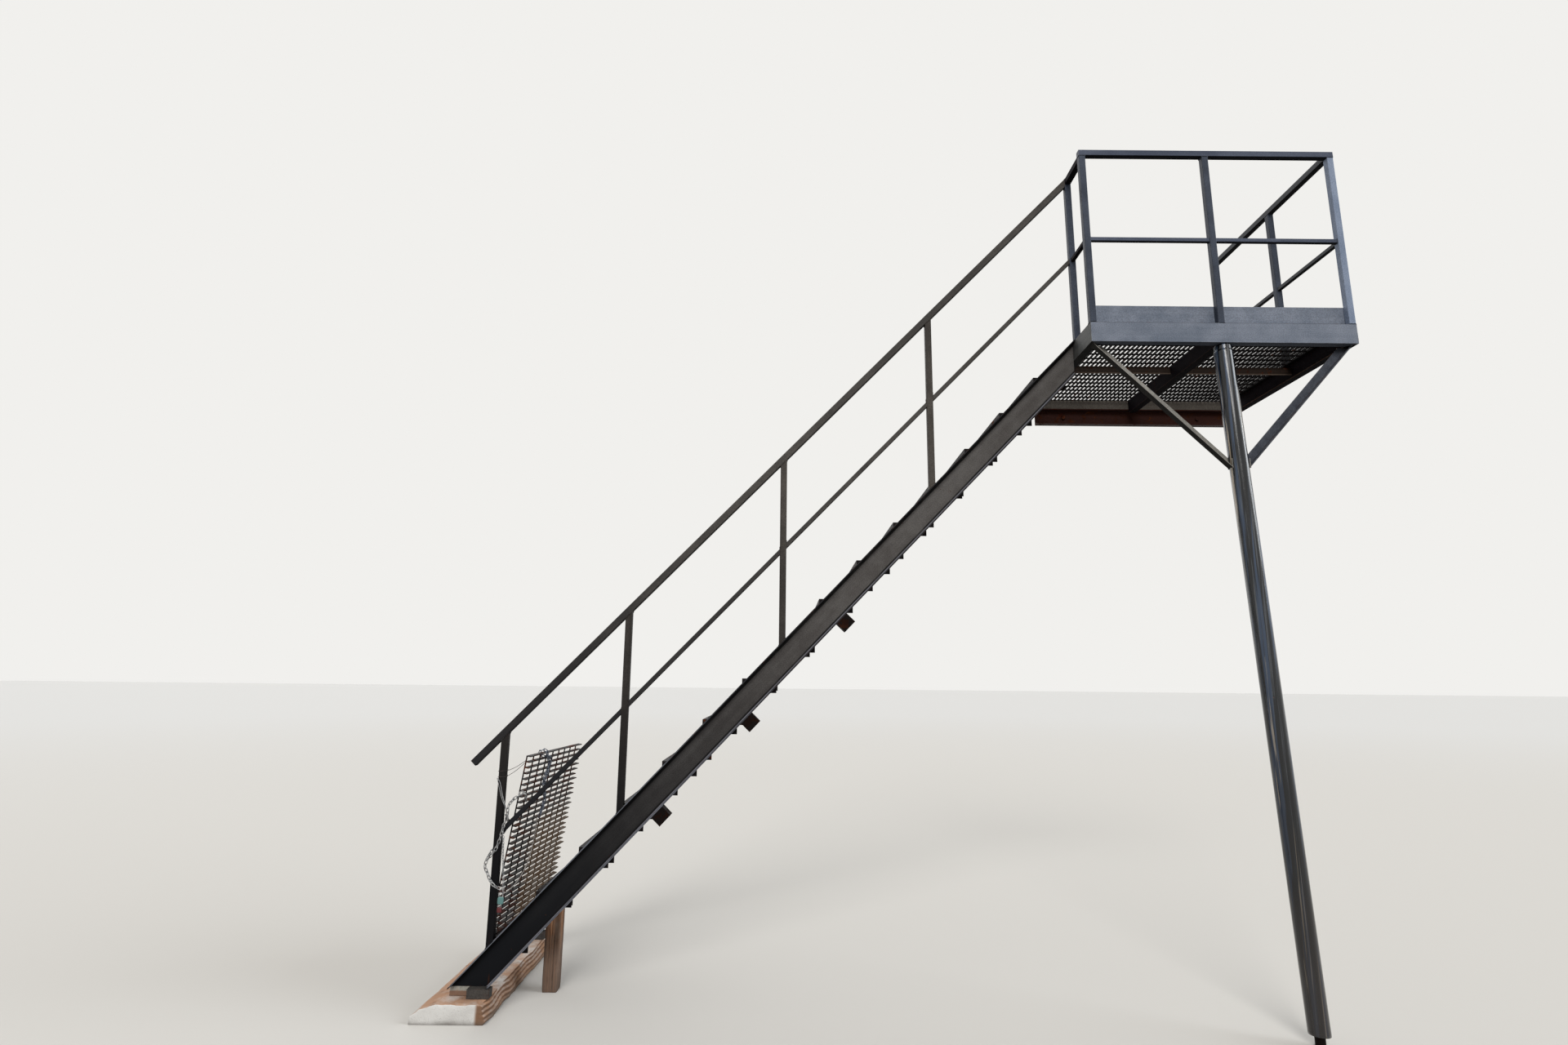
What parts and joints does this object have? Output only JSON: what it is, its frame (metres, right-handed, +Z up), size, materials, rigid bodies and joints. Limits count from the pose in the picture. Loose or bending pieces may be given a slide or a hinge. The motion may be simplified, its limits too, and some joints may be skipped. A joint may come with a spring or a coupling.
{
  "type": "fire escape stair",
  "caption": "Steep open steel stair with grating treads and a tube handrail, rising along a wall to a small railed grating platform held by a wall ledger and a braced pipe column.",
  "frame": {"origin": "middle of the wall ledger's back face, which is bolted flat to the wall", "axes": "+Y into the wall, +X along the wall from the stair towards the platform's free end, +Z up"},
  "size_m": [5.2052, 1.3, 4.929],
  "materials": {
    "black_paint": "worn semi-gloss black paint",
    "worn_paint": "chalky, faded dark grey paint",
    "rusted_steel": "brown rusted steel with paint remains",
    "red_rust": "dark red-brown rusted steel",
    "concrete": "rough cast concrete with rust stains",
    "weathered_timber": "rough, weathered softwood",
    "tie_line_fibre": "grey weathered twisted line"
  },
  "bodies": {
    "root": {"middle_joist": "black_paint", "right_end_channel": "black_paint", "left_floor_grating": "black_paint", "right_floor_grating": "black_paint", "outer_stringer": "black_paint", "wall_stringer": "black_paint", "stringer_feet": "black_paint", "stair_post_1": "black_paint", "stair_post_2": "black_paint", "stair_post_3": "black_paint", "stair_post_4": "black_paint", "stair_hand_rail": "black_paint", "stair_mid_rail": "black_paint", "column_cap": "black_paint", "column_pipe": "black_paint", "outer_tread_plates": "black_paint", "wall_tread_plates": "black_paint", "tread_01": "black_paint", "tread_02": "black_paint", "tread_03": "black_paint", "tread_04": "black_paint", "tread_05": "black_paint", "tread_06": "black_paint", "tread_07": "black_paint", "tread_08": "black_paint", "tread_09": "black_paint", "tread_10": "black_paint", "tread_11": "black_paint", "tread_12": "black_paint", "tread_13": "black_paint", "tread_14": "black_paint", "tread_15": "black_paint", "outer_channel": "worn_paint", "left_end_channel": "worn_paint", "wall_bearer": "worn_paint", "toe_plate": "worn_paint", "left_corner_post": "worn_paint", "middle_post": "worn_paint", "right_corner_post": "worn_paint", "end_rail_post": "worn_paint", "front_top_rail": "worn_paint", "end_top_rail": "worn_paint", "front_mid_rail": "worn_paint", "end_mid_rail": "worn_paint", "corner_rail_links": "worn_paint", "stair_top_post": "worn_paint", "left_brace": "worn_paint", "right_brace": "worn_paint", "front_bearer": "rusted_steel", "middle_bearer": "rusted_steel", "column_foot": "rusted_steel", "stringer_blocks": "rusted_steel", "barrier_panel": "rusted_steel", "wall_ledger": "red_rust", "concrete_footing": "concrete", "foot_packers": "concrete", "timber_prop": "weathered_timber", "tie_line": "tie_line_fibre"}
  },
  "joints": []
}
